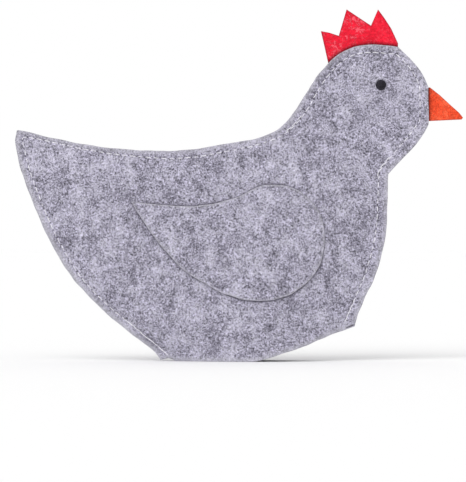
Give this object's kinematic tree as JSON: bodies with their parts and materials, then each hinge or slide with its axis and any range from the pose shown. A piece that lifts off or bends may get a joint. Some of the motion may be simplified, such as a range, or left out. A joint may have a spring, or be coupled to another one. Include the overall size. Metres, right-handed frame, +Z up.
{
  "type": "egg cosy",
  "caption": "Hollow felt cover in the shape of a hen, sewn from two panels and open along the hem, that stands over a boiled egg to keep it warm.",
  "frame": {"origin": "on the surface the cosy stands on, under the centre of its bounding box", "axes": "+Z up, +X from the tail towards the beak, the hen's front panel faces -Y"},
  "size_m": [0.1702, 0.0257, 0.1336],
  "materials": {
    "grey_felt": "matt melange wool felt, mottled light and dark grey",
    "red_felt": "matt red felt with paler brushed streaks",
    "orange_felt": "matt orange-red felt",
    "black_felt": "matt near-black felt"
  },
  "bodies": {
    "root": {"body_front": "grey_felt", "body_back": "grey_felt", "wing_front": "grey_felt", "wing_back": "grey_felt", "comb": "red_felt", "beak": "orange_felt", "eye_front": "black_felt", "eye_back": "black_felt"}
  },
  "joints": []
}
